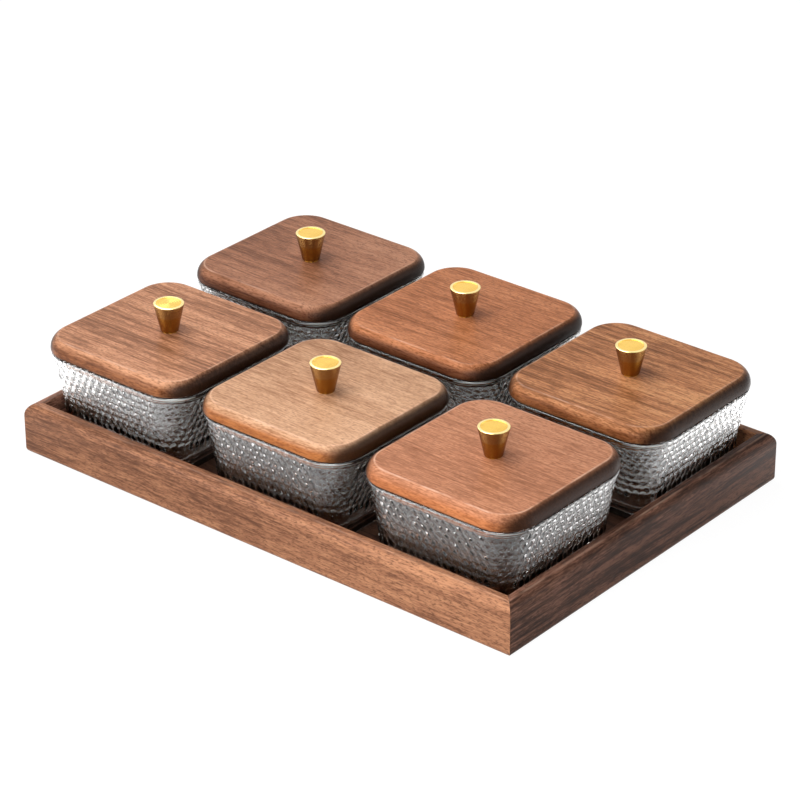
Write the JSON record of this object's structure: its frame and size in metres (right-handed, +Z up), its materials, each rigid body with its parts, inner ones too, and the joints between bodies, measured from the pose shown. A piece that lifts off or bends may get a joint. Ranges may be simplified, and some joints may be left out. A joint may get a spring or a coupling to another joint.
{
  "type": "serving set",
  "caption": "Wooden tray holding square hammered-glass bowls in two rows; each bowl lifts out and has a sealed wooden lid with a conical brass knob.",
  "frame": {"origin": "on the surface it stands on, under the middle of the tray", "axes": "+X along the tray's long side, +Y from the front row of bowls to the back row, +Z up"},
  "size_m": [0.392, 0.271, 0.101],
  "materials": {
    "tray_wood": "satin oiled walnut",
    "tray_floor_wood": "dark stained",
    "glass": "clear, hammered outside",
    "lid_wood_brown": "satin",
    "lid_wood_golden": "satin",
    "lid_wood_reddish": "satin",
    "lid_wood_dark": "satin",
    "seal": "matt silicone",
    "brass": "polished",
    "steel": "plain"
  },
  "bodies": {
    "tray": {"rail_front": "tray_wood", "rail_right": "tray_wood", "rail_back": "tray_wood", "rail_left": "tray_wood", "tray_floor": "tray_floor_wood"},
    "bowl_front_left": {"bowl_front_left": "glass"},
    "lid_front_left": {"lid_front_left": "lid_wood_brown", "seal_front_left": "seal", "knob_front_left": "brass", "screw_front_left": "steel"},
    "bowl_front_middle": {"bowl_front_middle": "glass"},
    "lid_front_middle": {"lid_front_middle": "lid_wood_golden", "seal_front_middle": "seal", "knob_front_middle": "brass", "screw_front_middle": "steel"},
    "bowl_front_right": {"bowl_front_right": "glass"},
    "lid_front_right": {"lid_front_right": "lid_wood_reddish", "seal_front_right": "seal", "knob_front_right": "brass", "screw_front_right": "steel"},
    "bowl_back_left": {"bowl_back_left": "glass"},
    "lid_back_left": {"lid_back_left": "lid_wood_dark", "seal_back_left": "seal", "knob_back_left": "brass", "screw_back_left": "steel"},
    "bowl_back_middle": {"bowl_back_middle": "glass"},
    "lid_back_middle": {"lid_back_middle": "lid_wood_brown", "seal_back_middle": "seal", "knob_back_middle": "brass", "screw_back_middle": "steel"},
    "bowl_back_right": {"bowl_back_right": "glass"},
    "lid_back_right": {"lid_back_right": "lid_wood_brown", "seal_back_right": "seal", "knob_back_right": "brass", "screw_back_right": "steel"}
  },
  "joints": [
    {"name": "bowl_lift_front_left", "type": "slide", "parent": "tray", "child": "bowl_front_left", "axis": [0, 0, 1], "range_m": [0, 0.06]},
    {"name": "bowl_lift_front_middle", "type": "slide", "parent": "tray", "child": "bowl_front_middle", "axis": [0, 0, 1], "range_m": [0, 0.06]},
    {"name": "bowl_lift_front_right", "type": "slide", "parent": "tray", "child": "bowl_front_right", "axis": [0, 0, 1], "range_m": [0, 0.06]},
    {"name": "bowl_lift_back_left", "type": "slide", "parent": "tray", "child": "bowl_back_left", "axis": [0, 0, 1], "range_m": [0, 0.06]},
    {"name": "bowl_lift_back_middle", "type": "slide", "parent": "tray", "child": "bowl_back_middle", "axis": [0, 0, 1], "range_m": [0, 0.06]},
    {"name": "bowl_lift_back_right", "type": "slide", "parent": "tray", "child": "bowl_back_right", "axis": [0, 0, 1], "range_m": [0, 0.06]},
    {"name": "lid_lift_front_left", "type": "slide", "parent": "bowl_front_left", "child": "lid_front_left", "axis": [0, 0, 1], "range_m": [0, 0.05]},
    {"name": "lid_lift_front_middle", "type": "slide", "parent": "bowl_front_middle", "child": "lid_front_middle", "axis": [0, 0, 1], "range_m": [0, 0.05]},
    {"name": "lid_lift_front_right", "type": "slide", "parent": "bowl_front_right", "child": "lid_front_right", "axis": [0, 0, 1], "range_m": [0, 0.05]},
    {"name": "lid_lift_back_left", "type": "slide", "parent": "bowl_back_left", "child": "lid_back_left", "axis": [0, 0, 1], "range_m": [0, 0.05]},
    {"name": "lid_lift_back_middle", "type": "slide", "parent": "bowl_back_middle", "child": "lid_back_middle", "axis": [0, 0, 1], "range_m": [0, 0.05]},
    {"name": "lid_lift_back_right", "type": "slide", "parent": "bowl_back_right", "child": "lid_back_right", "axis": [0, 0, 1], "range_m": [0, 0.05]}
  ]
}
